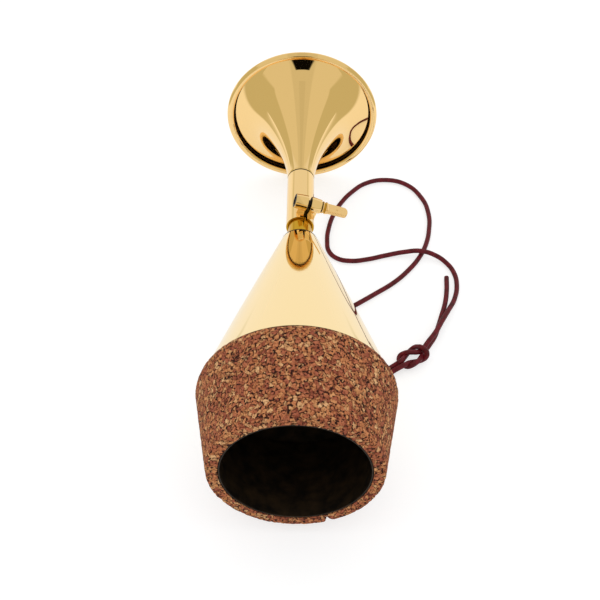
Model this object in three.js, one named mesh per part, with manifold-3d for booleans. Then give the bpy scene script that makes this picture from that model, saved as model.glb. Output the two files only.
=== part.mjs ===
// A stop mute for the French horn, lying on its side: a brass cone with a cork sleeve round its large end,
// and a small bell that slides on a tube at its small end and is clamped there by a thumb screw.
// Millimetres, +Z up. The mute's axis runs along +Y, from the cork's mouth to the bell.
import * as THREE from "three";
import { mergeVertices } from "three/addons/utils/BufferGeometryUtils.js";
import Module from "manifold-3d";

const wasm = await Module();
wasm.setup();

// Driving dimensions, in millimetres
const corkLength = 33.8;
const corkMouthRadius = 28.95; // outside, at the open mouth
const corkTopRadius = 34.15; // outside, at its widest
const corkWall = 4;
const corkMouthEdge = 0.7; // rounding of the mouth's outer edge
const corkShoulder = 3.2; // length of the rounding next to the cone, which runs out flush with it
const corkStep = 1.65; // how far the cork stands proud of the cone
const seamWidth = 0.5; // butt joint of the cork strip
const seamChip = 1.4; // the joint's width at the mouth, where its corners are chipped
const seamChipLength = 4;
const seamAngle = THREE.MathUtils.degToRad(23); // from straight down, towards +X

const seatWall = 0.5; // brass skirt under the cork
const flangeGap = 0.3; // between the cork's end and the skirt's flange

const coneLength = 74.7;
const coneSmallRadius = 7;
const coneWall = 0.6;
const neckRingLength = 6;

const innerTubeRadius = 4.6;
const innerTubeWall = 0.6;
const innerTubeReach = 40; // how far it hangs into the cone
const innerTubeEngaged = 22; // how far it enters the outer tube
const tubeShowing = 8.7; // between the cone and the outer tube
const slideClearance = 0.1;

const outerTubeLength = 29.85;
const outerTubeWall = 0.75;
const slitWidth = 1.2;
const slitLength = 13;

const flareLength = 44.2;
const flareWall = 0.55;
const bellRadius = 32.55; // over the rolled edge
const rimWireRadius = 0.8;
const rimWireClearance = 0.15;
const curlAngle = THREE.MathUtils.degToRad(280); // how far the edge is rolled round its wire
// The flare's rise from throat to rim: shares of a straight line, a gentle bend and a sharp turn outwards
const straightShare = 0.1;
const bentShare = 0.6;
const turnedShare = 0.3;
const turnedPower = 15;

const clampPlace = 4.9; // the screw's axis, from the outer tube's slit end
const clampAngle = THREE.MathUtils.degToRad(18); // from straight up, towards +X
const clampOffset = 0.7; // the slit's middle, along the screw
const lugGap = 1.4; // between the two lugs
const headLugReach = 4.95; // of the head lug's end from the slit's middle
const nutLugReach = 5.6;
const barrelRadius = 3.1;
const barrelEndRadius = 2.7;
const footWidth = 4.4;
const footReach = 3.2; // of each foot along the tube's tangent

const screwRadius = 1.5;
const screwClearance = 0.09;
const screwEndGap = 0.3;
const screwChamfer = 0.3;
const collarRadius = 2.35;
const collarLength = 1.9;
const collarChamfer = 0.2;
const thumbLength = 8.65;
const thumbThickness = 1.5;
const thumbFillet = 1.4;
const thumbRounding = 1.6;
const dimpleRadius = 0.45;
const dimpleDepth = 0.35;
const dimplePlace = 4.35; // from the collar
const dimpleOffset = 0.4; // from the thumb piece's middle, towards the cork

const eyePlace = 26; // up the cone from its large end
const eyeWireRadius = 0.75;
const eyeCornerRadius = 1.6;
const eyeGap = 3.7; // clear width between the eye's legs
const eyeHeight = 3.7; // clear height under the cone

const cordRadius = 1;
const tableGap = 0.05; // under the cord and the knot
const knotLength = 11.6;
const knotWidth = 7;
const knotHeight = 5.6;
const knotRounding = 2.2;
const knotPlace = [44, -16.4];
const knotAngle = THREE.MathUtils.degToRad(41.5); // of the knot's length, from +X

const jointGap = 0.3; // solder or glue line between pieces that are fixed to each other
const fitGap = 0.2; // the same, between round pieces on one axis
const overcut = 1; // how far a cutting shape runs past what it cuts

// Sides of the round pieces and steps of the curved ones. The large round pieces have a flat straight down.
const facets = 48;
const tubeFacets = 32;
const barrelFacets = 24;
const boreFacets = 16;
const wireFacets = 10;
const cordFacets = 8;
const edgeSteps = 3;
const shoulderSteps = 5;
const filletSteps = 5;
const barrelSteps = 5;
const curlSteps = 9;
const flareSteps = 13;
const flareCrowding = 1.9; // above 1, the flare's steps get shorter towards the rim
const eyeSteps = 26;
const cordStep = 5.3; // about this far apart, the rings of the cord's solids

// Places along the axis, from the cork's mouth
const coneStart = corkLength + flangeGap;
const coneEnd = coneStart + coneLength;
const outerTubeStart = coneEnd + tubeShowing;
const throat = outerTubeStart + outerTubeLength;
const rim = throat + flareLength;
const screwPlace = outerTubeStart + clampPlace;

// Radii and heights that follow from the driving dimensions
const coneLargeRadius = corkTopRadius - corkStep;
const outerTubeBore = innerTubeRadius + slideClearance;
const outerTubeRadius = outerTubeBore + outerTubeWall;
const curlRadius = rimWireRadius + rimWireClearance + flareWall / 2; // to the middle of the sheet
const screwHeight = outerTubeRadius + barrelRadius; // above the tubes' axis
const flatHeight = (radius) => radius * Math.cos(Math.PI / facets);

// The mute lies on the cork's widest circle and the bell's rim, so its axis leans a little
const corkTouch = corkLength - corkShoulder;
const rimTouch = rim - curlRadius - flareWall / 2;
const axisLean = Math.atan((flatHeight(corkTopRadius) - flatHeight(bellRadius)) / (rimTouch - corkTouch));
const mouthHeight = corkTouch * Math.sin(axisLean) + flatHeight(corkTopRadius) * Math.cos(axisLean);

const brass = new THREE.MeshStandardMaterial({ color: "#e8c478", metalness: 1, roughness: 0.12 });
const cork = new THREE.MeshStandardMaterial({ color: "#a86f47", metalness: 0, roughness: 0.9 });
const leather = new THREE.MeshStandardMaterial({ color: "#6b1a24", metalness: 0, roughness: 0.55 });

// A closed geometry as a manifold solid, to cut and join.
function solid(geometry) {
  const bare = geometry.clone();
  bare.deleteAttribute("normal");
  bare.deleteAttribute("uv");
  const merged = mergeVertices(bare, 1e-4);
  return new wasm.Manifold(
    new wasm.Mesh({
      numProp: 3,
      vertProperties: merged.getAttribute("position").array,
      triVerts: new Uint32Array(merged.index.array),
    }),
  );
}

// A manifold solid as a geometry with flat faces.
function geometryOf(shape) {
  const mesh = shape.getMesh();
  const geometry = new THREE.BufferGeometry();
  geometry.setAttribute("position", new THREE.BufferAttribute(mesh.vertProperties, 3));
  geometry.setIndex(new THREE.BufferAttribute(mesh.triVerts, 1));
  const faceted = geometry.toNonIndexed();
  faceted.computeVertexNormals();
  return faceted;
}

// A named mesh, added to its group.
function piece(group, name, geometry, material) {
  const mesh = new THREE.Mesh(geometry, material);
  mesh.name = name;
  group.add(mesh);
  return mesh;
}

// A turned solid about +Y. The outline is [along, radius] pairs; a hollow one goes all the way round
// its section, and a solid one starts and ends on the axis.
function turned(outline, sides) {
  const points = outline.map(([along, radius]) => new THREE.Vector2(radius, along));
  if (THREE.ShapeUtils.area(points) < 0) points.reverse();
  const hollow = points.every((point) => point.x > 0);
  if (hollow) points.push(points[0].clone());
  return new THREE.LatheGeometry(points, sides, Math.PI / sides);
}

// The outline of a sheet of even thickness along a line of [along, radius] points.
function sheet(line, thickness) {
  const points = line.map(([along, radius]) => new THREE.Vector2(along, radius));
  const edges = [[], []];
  points.forEach((point, i) => {
    const before = point.clone().sub(points[i - 1] ?? point).normalize();
    const after = (points[i + 1] ?? point).clone().sub(point).normalize();
    if (i === 0) before.copy(after);
    if (i === points.length - 1) after.copy(before);
    const along = before.clone().add(after).normalize();
    const reach = thickness / 2 / along.dot(after);
    edges[0].push([point.x + along.y * reach, point.y - along.x * reach]);
    edges[1].push([point.x - along.y * reach, point.y + along.x * reach]);
  });
  return [...edges[0], ...edges[1].reverse()];
}

// An arc of the given radius about a centre, from one angle to another, as [along, radius] points.
function arc([alongCentre, radiusCentre], radius, from, to, steps) {
  return Array.from({ length: steps + 1 }, (_, i) => {
    const angle = from + ((to - from) * i) / steps;
    return [alongCentre + radius * Math.cos(angle), radiusCentre + radius * Math.sin(angle)];
  });
}

// The cork strip's joint: a narrow cut through the wall that opens into a chip at the mouth.
function seamCut() {
  const reach = corkTopRadius + overcut;
  const outline = new THREE.Shape([
    new THREE.Vector2(-seamChip / 2, -overcut),
    new THREE.Vector2(seamChip / 2, -overcut),
    new THREE.Vector2(seamChip / 2, 0),
    new THREE.Vector2(seamWidth / 2, seamChipLength),
    new THREE.Vector2(seamWidth / 2, corkLength + overcut),
    new THREE.Vector2(-seamWidth / 2, corkLength + overcut),
    new THREE.Vector2(-seamWidth / 2, seamChipLength),
    new THREE.Vector2(-seamChip / 2, 0),
  ]);
  const cut = new THREE.ExtrudeGeometry(outline, { depth: reach, bevelEnabled: false });
  return cut.rotateY(Math.PI - seamAngle);
}

function corkSleeve() {
  const mouthEdge = [corkMouthEdge, corkMouthRadius - corkMouthEdge];
  const shoulder = Array.from({ length: shoulderSteps + 1 }, (_, i) => {
    const angle = (Math.PI / 2) * (i / shoulderSteps);
    return [corkTouch + corkShoulder * Math.sin(angle), coneLargeRadius + corkStep * Math.cos(angle)];
  });
  const sleeve = turned(
    [
      [0, corkMouthRadius - corkWall],
      ...arc(mouthEdge, corkMouthEdge, Math.PI, Math.PI / 2, edgeSteps),
      ...shoulder,
      [corkLength, corkTopRadius - corkWall],
    ],
    facets,
  );
  return geometryOf(solid(sleeve).subtract(solid(seamCut())));
}

// The cone's sheet at a place along the axis, at the middle of its wall.
const coneSlope = (coneLargeRadius - coneSmallRadius) / coneLength;
const coneLean = Math.atan(coneSlope);
const coneInset = coneWall / 2 / Math.cos(coneLean);
function coneRadius(along) {
  return coneLargeRadius - coneInset - coneSlope * (along - coneStart);
}

function corkSeat() {
  const inset = corkWall + fitGap + seatWall / 2;
  const flangePlace = coneStart + seatWall / 2;
  const line = [
    [fitGap, corkMouthRadius - inset],
    [flangePlace, corkTopRadius - inset],
    [flangePlace, coneRadius(flangePlace + seatWall / 2) - coneInset - fitGap],
  ];
  return turned(sheet(line, seatWall), facets);
}

function bodyCone() {
  const line = [
    [coneStart + coneWall / 2, coneRadius(coneStart + coneWall / 2)],
    [coneEnd, coneRadius(coneEnd)],
  ];
  return turned(sheet(line, coneWall), facets);
}

function neckRing() {
  const start = coneEnd - neckRingLength;
  const bore = innerTubeRadius + fitGap;
  const outside = (along) => coneRadius(along) - coneInset - fitGap;
  return turned(
    [
      [start, bore],
      [start, outside(start)],
      [coneEnd, outside(coneEnd)],
      [coneEnd, bore],
    ],
    facets,
  );
}

// A plain tube along the axis.
function tube(start, end, radius, wall) {
  return turned([[start, radius - wall], [start, radius], [end, radius], [end, radius - wall]], tubeFacets);
}

// The outer tube, in the clamp's frame: its slit runs in from the low end and stops in a drilled hole.
function outerTube() {
  const body = solid(tube(outerTubeStart, throat - jointGap, outerTubeRadius, outerTubeWall));
  const outline = new THREE.Shape();
  outline.moveTo(slitWidth / 2, -overcut);
  outline.lineTo(slitWidth / 2, slitLength - slitWidth / 2);
  outline.absarc(0, slitLength - slitWidth / 2, slitWidth / 2, 0, Math.PI);
  outline.lineTo(-slitWidth / 2, -overcut);
  const slit = new THREE.ExtrudeGeometry(outline, {
    depth: outerTubeRadius + overcut,
    bevelEnabled: false,
    curveSegments: filletSteps,
  });
  slit.translate(clampOffset, outerTubeStart, 0);
  return geometryOf(body.subtract(solid(slit)));
}

// The middle of the bell's sheet, from the throat to the rim and on round the wire.
const curlCentre = [rimTouch, bellRadius - curlRadius - flareWall / 2];
function flareLine() {
  const throatRadius = outerTubeRadius - flareWall / 2;
  const endSlope = straightShare + 2 * bentShare + turnedPower * turnedShare;
  const lean = Math.atan((endSlope * (curlCentre[1] - throatRadius)) / (curlCentre[0] - throat));
  const lip = [
    curlCentre[0] + curlRadius * Math.sin(lean),
    curlCentre[1] - curlRadius * Math.cos(lean),
  ];
  const line = [];
  for (let i = 0; i < flareSteps; i++) {
    const part = 1 - (1 - i / flareSteps) ** flareCrowding;
    const rise = straightShare * part + bentShare * part ** 2 + turnedShare * part ** turnedPower;
    line.push([throat + (lip[0] - throat) * part, throatRadius + (lip[1] - throatRadius) * rise]);
  }
  const start = lean - Math.PI / 2;
  return [...line, ...arc(curlCentre, curlRadius, start, start + curlAngle, curlSteps)];
}

function bellFlare() {
  return turned(sheet(flareLine(), flareWall), facets);
}

function rimWire() {
  const ring = arc(curlCentre, rimWireRadius, 0, 2 * Math.PI, wireFacets);
  return turned(ring.slice(0, -1), facets);
}

// A turned solid about the screw's axis, +X in the clamp's frame.
function turnedOnScrew(outline, sides) {
  return turned(outline, sides).rotateZ(-Math.PI / 2);
}

// One half of the clamp's barrel with its foot on the tube: the side is 1 for the screw's head and -1 for
// its end, and the end is the place of the half's outer face.
function clampLug(side, end) {
  const inner = lugGap / 2;
  const outline = [[inner, 0]];
  for (let i = 0; i <= barrelSteps; i++) {
    const along = inner + ((end - inner) * i) / barrelSteps;
    outline.push([along, barrelRadius - (barrelRadius - barrelEndRadius) * (along / end) ** 2]);
  }
  outline.push([end, 0]);
  const barrel = solid(turnedOnScrew(outline, barrelFacets));
  const footHeight = screwHeight - outerTubeRadius / 2;
  const foot = new THREE.BoxGeometry(footReach, footWidth, footHeight);
  foot.translate(inner + footReach / 2, 0, -footHeight / 2);
  const boreRadius = screwRadius + screwClearance;
  const bore = [[-overcut, 0], [-overcut, boreRadius], [end + overcut, boreRadius], [end + overcut, 0]];
  const hole = solid(turnedOnScrew(bore, boreFacets));
  const saddleRadius = outerTubeRadius + jointGap;
  const saddleLength = 2 * (barrelRadius + overcut);
  const saddle = new THREE.CylinderGeometry(saddleRadius, saddleRadius, saddleLength, tubeFacets);
  saddle.translate(-side * clampOffset, 0, -screwHeight);
  const lug = barrel.add(solid(foot)).subtract(hole).subtract(solid(saddle));
  const made = side > 0 ? lug : lug.mirror([1, 0, 0]);
  return geometryOf(made);
}

// The thumb screw about its own axis, +X: shank, collar, and a rod whose end is milled flat on two sides.
function thumbScrew() {
  const start = -nutLugReach + screwEndGap;
  const collarStart = headLugReach + screwEndGap;
  const thumbStart = collarStart + collarLength;
  const tip = thumbStart + thumbLength;
  const flat = thumbThickness / 2;
  const outline = [
    [start, 0],
    [start, screwRadius - screwChamfer],
    [start + screwChamfer, screwRadius],
    [collarStart, screwRadius],
    [collarStart, collarRadius - collarChamfer],
    [collarStart + collarChamfer, collarRadius],
    ...arc([tip - thumbRounding, collarRadius - thumbRounding], thumbRounding, Math.PI / 2, 0, filletSteps),
    [tip, 0],
  ];
  const mill = new THREE.Shape();
  mill.moveTo(thumbStart, collarRadius + overcut);
  mill.lineTo(thumbStart, flat + thumbFillet);
  mill.absarc(thumbStart + thumbFillet, flat + thumbFillet, thumbFillet, Math.PI, 1.5 * Math.PI);
  mill.lineTo(tip + overcut, flat);
  mill.lineTo(tip + overcut, collarRadius + overcut);
  const width = 2 * (collarRadius + overcut);
  const milled = new THREE.ExtrudeGeometry(mill, {
    depth: width,
    bevelEnabled: false,
    curveSegments: filletSteps,
  });
  milled.translate(0, 0, -width / 2).rotateX(Math.PI / 2);
  const dimple = new THREE.ConeGeometry(dimpleRadius * 2, dimpleDepth * 2, wireFacets).rotateX(-Math.PI / 2);
  dimple.translate(thumbStart + dimplePlace, -dimpleOffset, flat);
  const top = solid(milled);
  const body = solid(turnedOnScrew(outline, barrelFacets));
  return geometryOf(body.subtract(top).subtract(top.mirror([0, 0, 1])).subtract(solid(dimple)));
}

// The wire eye: two legs square to the cone's skin and a bar between them, with round corners.
function cordEye() {
  const legs = (eyeGap + 2 * eyeWireRadius) / 2;
  const bar = eyeHeight + eyeWireRadius;
  const corner = eyeCornerRadius;
  const path = new THREE.CurvePath();
  const at = (along, out) => new THREE.Vector3(0, along, -out);
  path.add(new THREE.LineCurve3(at(-legs, jointGap), at(-legs, bar - corner)));
  path.add(new THREE.QuadraticBezierCurve3(at(-legs, bar - corner), at(-legs, bar), at(corner - legs, bar)));
  path.add(new THREE.LineCurve3(at(corner - legs, bar), at(legs - corner, bar)));
  path.add(new THREE.QuadraticBezierCurve3(at(legs - corner, bar), at(legs, bar), at(legs, bar - corner)));
  path.add(new THREE.LineCurve3(at(legs, bar - corner), at(legs, jointGap)));
  const section = circleShape(eyeWireRadius, wireFacets);
  return new THREE.ExtrudeGeometry(section, { steps: eyeSteps, bevelEnabled: false, extrudePath: path });
}

// A regular polygon as a tube's section.
function circleShape(radius, sides) {
  return new THREE.Shape(
    Array.from({ length: sides }, (_, i) => {
      const angle = (2 * Math.PI * (i + 0.5)) / sides;
      return new THREE.Vector2(radius * Math.cos(angle), radius * Math.sin(angle));
    }),
  );
}

// A stretch of the cord in the part's own frame, through points chosen by hand. The third number of a point
// is how far the cord is lifted off the table there.
function cordStretch(points) {
  const resting = cordRadius + tableGap;
  const route = new THREE.CatmullRomCurve3(
    points.map(([x, y, lift = 0]) => new THREE.Vector3(x, y, resting + lift)),
  );
  const steps = Math.round(route.getLength() / cordStep);
  const section = circleShape(cordRadius, cordFacets);
  return new THREE.ExtrudeGeometry(section, { steps, bevelEnabled: false, extrudePath: route });
}

// From the eye under the cone, round the wide loop on the table, over itself, and to the knot
const longRoute = [
  [-0.15, -35.9, 6.9], [-4, -35.8, 6.2], [-8.5, -34.4, 3.3], [-12, -30.6, 0.9], [-13.4, -25],
  [-12.4, -18.4], [-8.6, -12], [-2.6, -6.2], [4.6, -1.2], [12.6, 3.9], [21.1, 9.7], [30.7, 17.1], [39.2, 24.2], [45.3, 31.3],
  [50, 38.6], [53.4, 46.7], [55.4, 56.1], [55.9, 66.5], [53.5, 77.2], [46.6, 86.7], [37.8, 89.4], [29.2, 87.1],
  [22.2, 80.4], [17.4, 73], [14.1, 65.3], [12, 56.6], [11.3, 48.7], [12.2, 41.8], [15.6, 37.8], [21, 36.4],
  [28, 37.4], [36, 39.8, 0.1], [43.6, 40.9, 1.1], [50.8, 40.4, 2.3], [57, 38.6, 1.4], [61.3, 35.4, 0.2],
  [63.9, 30.1], [64.6, 23], [63, 14.6, 0.2], [59.7, 6.9, 1.3], [56.5, 0.1, 2.1], [53.8, -5.5, 2.25],
  [50.7, -10.4, 2.25],
];
// From the eye, out between the cone and the table, and to the knot's other end
const shortRoute = [
  [0.15, -35.9, 6.9], [4, -36, 6.3], [8.6, -35.8, 3.8], [13, -34.9, 1.2], [18, -33], [24, -30.2],
  [29.7, -26.7], [34.1, -23.6, 0.1], [36.5, -22.1, 0.65], [38.2, -21.4, 1.5],
];
// The cord's two cut ends, past the knot
const tailRoute = [
  [50.8, -11], [53.5, -6], [55.2, -0.8], [57.1, 5.5], [58.9, 11.9], [60.1, 19], [60.7, 27.1],
];
const stubRoute = [[40.5, -22.9, 2], [37.9, -24.1, 1.5], [35.8, -25.1, 0.7], [33.75, -26.6, 0.2], [31.65, -28.2]];

// The knot as one rounded lump as long, wide and high as the tied knot.
function knot() {
  const half = { x: knotLength / 2 - knotRounding, y: knotWidth / 2 - knotRounding };
  const outline = new THREE.Shape([
    new THREE.Vector2(-half.x, -half.y), new THREE.Vector2(half.x, -half.y),
    new THREE.Vector2(half.x, half.y), new THREE.Vector2(-half.x, half.y),
  ]);
  const lump = new THREE.ExtrudeGeometry(outline, {
    depth: knotHeight - 2 * knotRounding,
    bevelThickness: knotRounding,
    bevelSize: knotRounding,
    bevelSegments: edgeSteps + 1,
  });
  return lump.translate(0, 0, knotRounding).rotateZ(knotAngle);
}

const part = new THREE.Group();

const mute = new THREE.Group();
mute.position.set(0, -rim / 2, mouthHeight);
mute.rotation.x = -axisLean;
part.add(mute);
piece(mute, "cork_sleeve", corkSleeve(), cork);
piece(mute, "cork_seat", corkSeat(), brass);
piece(mute, "body_cone", bodyCone(), brass);
piece(mute, "neck_ring", neckRing(), brass);
piece(
  mute,
  "inner_tube",
  tube(coneEnd - innerTubeReach, outerTubeStart + innerTubeEngaged, innerTubeRadius, innerTubeWall),
  brass,
);
const eye = piece(mute, "cord_eye", cordEye(), brass);
const eyeAlong = coneStart + eyePlace;
eye.position.set(0, eyeAlong, -flatHeight(coneRadius(eyeAlong) + coneInset));
eye.rotation.x = coneLean;

// What slides: the bell with its tube and clamp
const tuningSlide = new THREE.Group();
mute.add(tuningSlide);
piece(tuningSlide, "bell_flare", bellFlare(), brass);
piece(tuningSlide, "rim_wire", rimWire(), brass);
const clampFrame = new THREE.Group();
clampFrame.rotation.y = clampAngle;
tuningSlide.add(clampFrame);
piece(clampFrame, "outer_tube", outerTube(), brass);
const clamp = new THREE.Group();
clamp.position.set(clampOffset, screwPlace, screwHeight);
clampFrame.add(clamp);
piece(clamp, "head_lug", clampLug(1, headLugReach), brass);
piece(clamp, "nut_lug", clampLug(-1, nutLugReach), brass);
piece(clamp, "thumb_screw", thumbScrew(), brass);

// The wrist cord, lying on the table
piece(part, "cord_long", cordStretch(longRoute), leather);
piece(part, "cord_short", cordStretch(shortRoute), leather);
piece(part, "cord_tail", cordStretch(tailRoute), leather);
piece(part, "cord_stub", cordStretch(stubRoute), leather);
const knotMesh = piece(part, "cord_knot", knot(), leather);
knotMesh.position.set(...knotPlace, tableGap);

export default part;
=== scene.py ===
"""A stop mute for the French horn, lying on a white table with its wrist cord.

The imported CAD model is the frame. This script gives the pieces that show their fine shapes, dresses every
piece in a procedural finish, and sets up the table, the light and the camera.
"""

import logging
import math
from collections.abc import Callable, Iterable, Sequence
from dataclasses import dataclass, field
from enum import Enum

import bmesh
import bpy
from bmesh.types import BMesh, BMFace, BMVert
from bpy.types import Material, Node, NodeSocket, NodeTree, Object
from mathutils import Matrix, Vector, noise


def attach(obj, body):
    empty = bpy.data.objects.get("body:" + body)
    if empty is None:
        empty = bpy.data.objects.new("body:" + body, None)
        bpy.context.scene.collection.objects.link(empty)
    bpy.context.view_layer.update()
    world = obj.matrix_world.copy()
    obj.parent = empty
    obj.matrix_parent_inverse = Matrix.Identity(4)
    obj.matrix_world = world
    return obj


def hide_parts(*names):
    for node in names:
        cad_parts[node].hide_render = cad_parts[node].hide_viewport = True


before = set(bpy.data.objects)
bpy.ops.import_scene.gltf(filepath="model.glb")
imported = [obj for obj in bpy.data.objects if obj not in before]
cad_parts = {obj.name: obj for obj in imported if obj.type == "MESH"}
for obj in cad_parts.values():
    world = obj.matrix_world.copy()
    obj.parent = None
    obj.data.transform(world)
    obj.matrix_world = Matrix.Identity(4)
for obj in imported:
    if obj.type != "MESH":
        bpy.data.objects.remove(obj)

log = logging.getLogger("stop_mute")

MM = 0.001
FULL_TURN = 2 * math.pi
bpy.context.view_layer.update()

Outline = list[tuple[float, float]]


class Body(Enum):
    """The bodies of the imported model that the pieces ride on."""

    MUTE = "mute_body"
    SLIDE = "bell_slide"
    SCREW = "clamp_screw"


class Slot(Enum):
    """The record's material slots."""

    POLISHED_BRASS = "polished_brass"
    INNER_BRASS = "inner_brass"
    SCREW_BRASS = "screw_brass"
    CORK = "cork"
    LEATHER = "cord_leather"


# Materials


def linear(hex_colour: str, alpha: float = 1.0) -> tuple[float, float, float, float]:
    """Turns an sRGB hex colour into the linear values that a socket takes.

    Args:
        hex_colour: Six hex digits after a hash sign.
        alpha: The fourth value.

    Returns:
        Red, green, blue and alpha.
    """
    parts = [int(hex_colour[i : i + 2], 16) / 255 for i in (1, 3, 5)]
    values = [c / 12.92 if c <= 0.04045 else ((c + 0.055) / 1.055) ** 2.4 for c in parts]
    return (*values, alpha)


def node(tree: NodeTree, kind: str, settings: dict[str, object] | None = None, **links: object) -> Node:
    """Adds a node with its settings and the values or links of its inputs.

    Args:
        tree: The node tree.
        kind: The shader node's type without its first part, such as Math.
        settings: Properties of the node. The key "ramp" takes a colour ramp's stops.
        links: An input's name, with underscores for spaces, or in_N for its number, and its value, a socket
            or a node, whose first output it takes.

    Returns:
        The new node.
    """
    made = tree.nodes.new("ShaderNode" + kind)
    for name, value in (settings or {}).items():
        if name == "ramp":
            for _ in range(len(value) - 2):
                made.color_ramp.elements.new(0.5)
            for element, (place, colour) in zip(made.color_ramp.elements, value):
                element.position = place
                element.color = linear(colour) if isinstance(colour, str) else (colour, colour, colour, 1)
        else:
            setattr(made, name, value)
    for name, value in links.items():
        key = int(name[3:]) if name.startswith("in_") else name.replace("_", " ")
        socket = made.inputs[key]
        if isinstance(value, Node):
            value = value.outputs[0]
        if isinstance(value, NodeSocket):
            tree.links.new(value, socket)
        else:
            socket.default_value = value
    return made


@dataclass(frozen=True)
class Finish:
    """A finish, with what all of them share.

    Attributes:
        name: What the real material is.
    """

    name: str = "plain"

    def start(self) -> tuple[Material, NodeTree, Node, NodeSocket]:
        """Makes an empty node material with its output and the place on the object."""
        material = bpy.data.materials.new(self.name)
        material.use_nodes = True
        tree = material.node_tree
        tree.nodes.clear()
        place = node(tree, "TexCoord").outputs["Object"]
        return material, tree, node(tree, "OutputMaterial"), place

    def surface(
        self, tree: NodeTree, output: Node, bumps: NodeSocket | Node,
        strength: float, depth: float, **values: object,
    ) -> Node:
        """Adds the surface shader with its bumps and joins it to the output.

        Args:
            tree: The node tree.
            output: The material's output.
            bumps: The height of the surface.
            strength: How much the bumps count.
            depth: How deep they are, in metres.
            values: The shader's other inputs.

        Returns:
            The shader's node.
        """
        bump = node(tree, "Bump", Strength=strength, Distance=depth, Height=bumps)
        shader = node(tree, "BsdfPrincipled", Normal=bump, **values)
        tree.links.new(shader.outputs[0], output.inputs[0])
        return shader

    def material(self) -> Material:
        """Makes the material."""
        raise NotImplementedError


@dataclass(frozen=True)
class PolishedBrass(Finish):
    """Sheet or tube brass, spun or drawn, buffed to a mirror and lacquered.

    To the eye it is a pale gold mirror: it shows its white surroundings in pale yellow, and other brass in
    deep gold. The buff leaves faint rings round the axis that only soften the reflections' edges. Inside the
    bell's rolled edge the colour is painted nearly black: painted shade in the crease between the roll and
    the flare.

    Attributes:
        lie: How the mute lies, for the rings round its axis.
        ring_mm: The rings' spacing, several times the real one, so that they show.
        roll: The rolled edge's middle, along and radius in millimetres.
        crease_shade_reach_mm: How far from there the painted shade goes. Without a roll it is 0.
    """

    name: str = "buffed_lacquered_brass"
    lie: "Lie | None" = None
    # The default, which only the cone keeps, is paler than the other brass: painted light for the brighter
    # mirror image on the cone.
    colour: str = "#fbe0a8"
    # The colour of the painted shade in the bell's crease.
    crease_shade_colour: str = "#1c120a"
    roughness: float = 0.028
    ring_mm: float = 0.5
    ring_bump: float = 0.02
    ring_depth_mm: float = 0.1
    roll: tuple[float, float] = (190.05, 31.05)
    crease_shade_reach_mm: float = 0.0

    def material(self) -> Material:
        """Makes the brass."""
        material, tree, output, place = self.start()
        lie = self.lie or Lie()
        laid = node(
            tree, "Mapping", {"vector_type": "TEXTURE"}, Vector=place,
            Location=tuple(value * MM for value in lie.mouth), Rotation=(-lie.lean, 0, 0), Scale=(MM, MM, MM),
        )
        parts = node(tree, "SeparateXYZ", in_0=laid)
        across = node(tree, "CombineXYZ", X=parts, Z=parts.outputs[2])
        radius = node(tree, "VectorMath", {"operation": "LENGTH"}, in_0=across)
        round_axis = node(tree, "CombineXYZ", X=radius.outputs["Value"], Y=parts.outputs[1])
        rings = node(tree, "TexNoise", in_0=round_axis, Scale=1 / self.ring_mm, Detail=3.0)
        smudges = node(tree, "TexNoise", in_0=laid, Scale=0.12, Detail=4.0)
        rough = node(
            tree, "MapRange", Value=smudges.outputs["Fac"], From_Min=0.35, From_Max=0.7,
            To_Min=self.roughness * 0.6, To_Max=self.roughness * 1.5,
        )
        surface = self.surface(
            tree, output, rings, self.ring_bump, self.ring_depth_mm * MM,
            Base_Color=linear(self.colour), Metallic=1.0, Roughness=rough,
        )
        # Painted shade: near the rolled edge's middle the colour fades to near black, for the shade in the
        # crease between the roll and the flare.
        if self.crease_shade_reach_mm:
            from_roll = node(
                tree, "VectorMath", {"operation": "DISTANCE"}, in_0=round_axis,
                in_1=(self.roll[1], self.roll[0], 0),
            )
            ragged = node(
                tree, "Math", {"operation": "MULTIPLY_ADD"}, in_0=smudges.outputs["Fac"], in_1=0.2,
                in_2=from_roll.outputs["Value"],
            )
            # 1 outside the painted crease shade, 0 inside it.
            buffed = node(
                tree, "MapRange", Value=ragged, From_Min=self.crease_shade_reach_mm,
                From_Max=self.crease_shade_reach_mm + 0.15,
            )
            tone = node(tree, "MixRGB", Fac=buffed, Color1=linear(self.crease_shade_colour), Color2=linear(self.colour))
            tree.links.new(tone.outputs[0], surface.inputs["Base Color"])
        return material


@dataclass(frozen=True)
class DarkBrassAndGapShade(Finish):
    """Dark brass, in a brown-black skin.

    To the eye it is a brown-black skin, a little lighter in patches, that hardly shines. On the walls of the
    clamp's slit and lug gap, the lugs' outer ends, the screw's shank in the gap and the seat's flange under
    the cork's edge it is painted shade, for the shade in those gaps.
    """

    name: str = "dark_brass_and_gap_shade"
    light: str = "#3a2a18"
    dark: str = "#140d07"
    patch_mm: float = 4.0
    roughness: float = 0.55

    def material(self) -> Material:
        """Makes the tarnished brass."""
        material, tree, output, place = self.start()
        patches = node(tree, "TexNoise", in_0=place, Scale=1000 / self.patch_mm, Detail=5.0)
        colour = node(
            tree, "ValToRGB", {"ramp": [(0.35, self.dark), (0.7, self.light)]}, Fac=patches.outputs["Fac"],
        )
        surface = node(tree, "BsdfPrincipled", Base_Color=colour, Metallic=0.6, Roughness=self.roughness)
        tree.links.new(surface.outputs[0], output.inputs[0])
        return material


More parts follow.
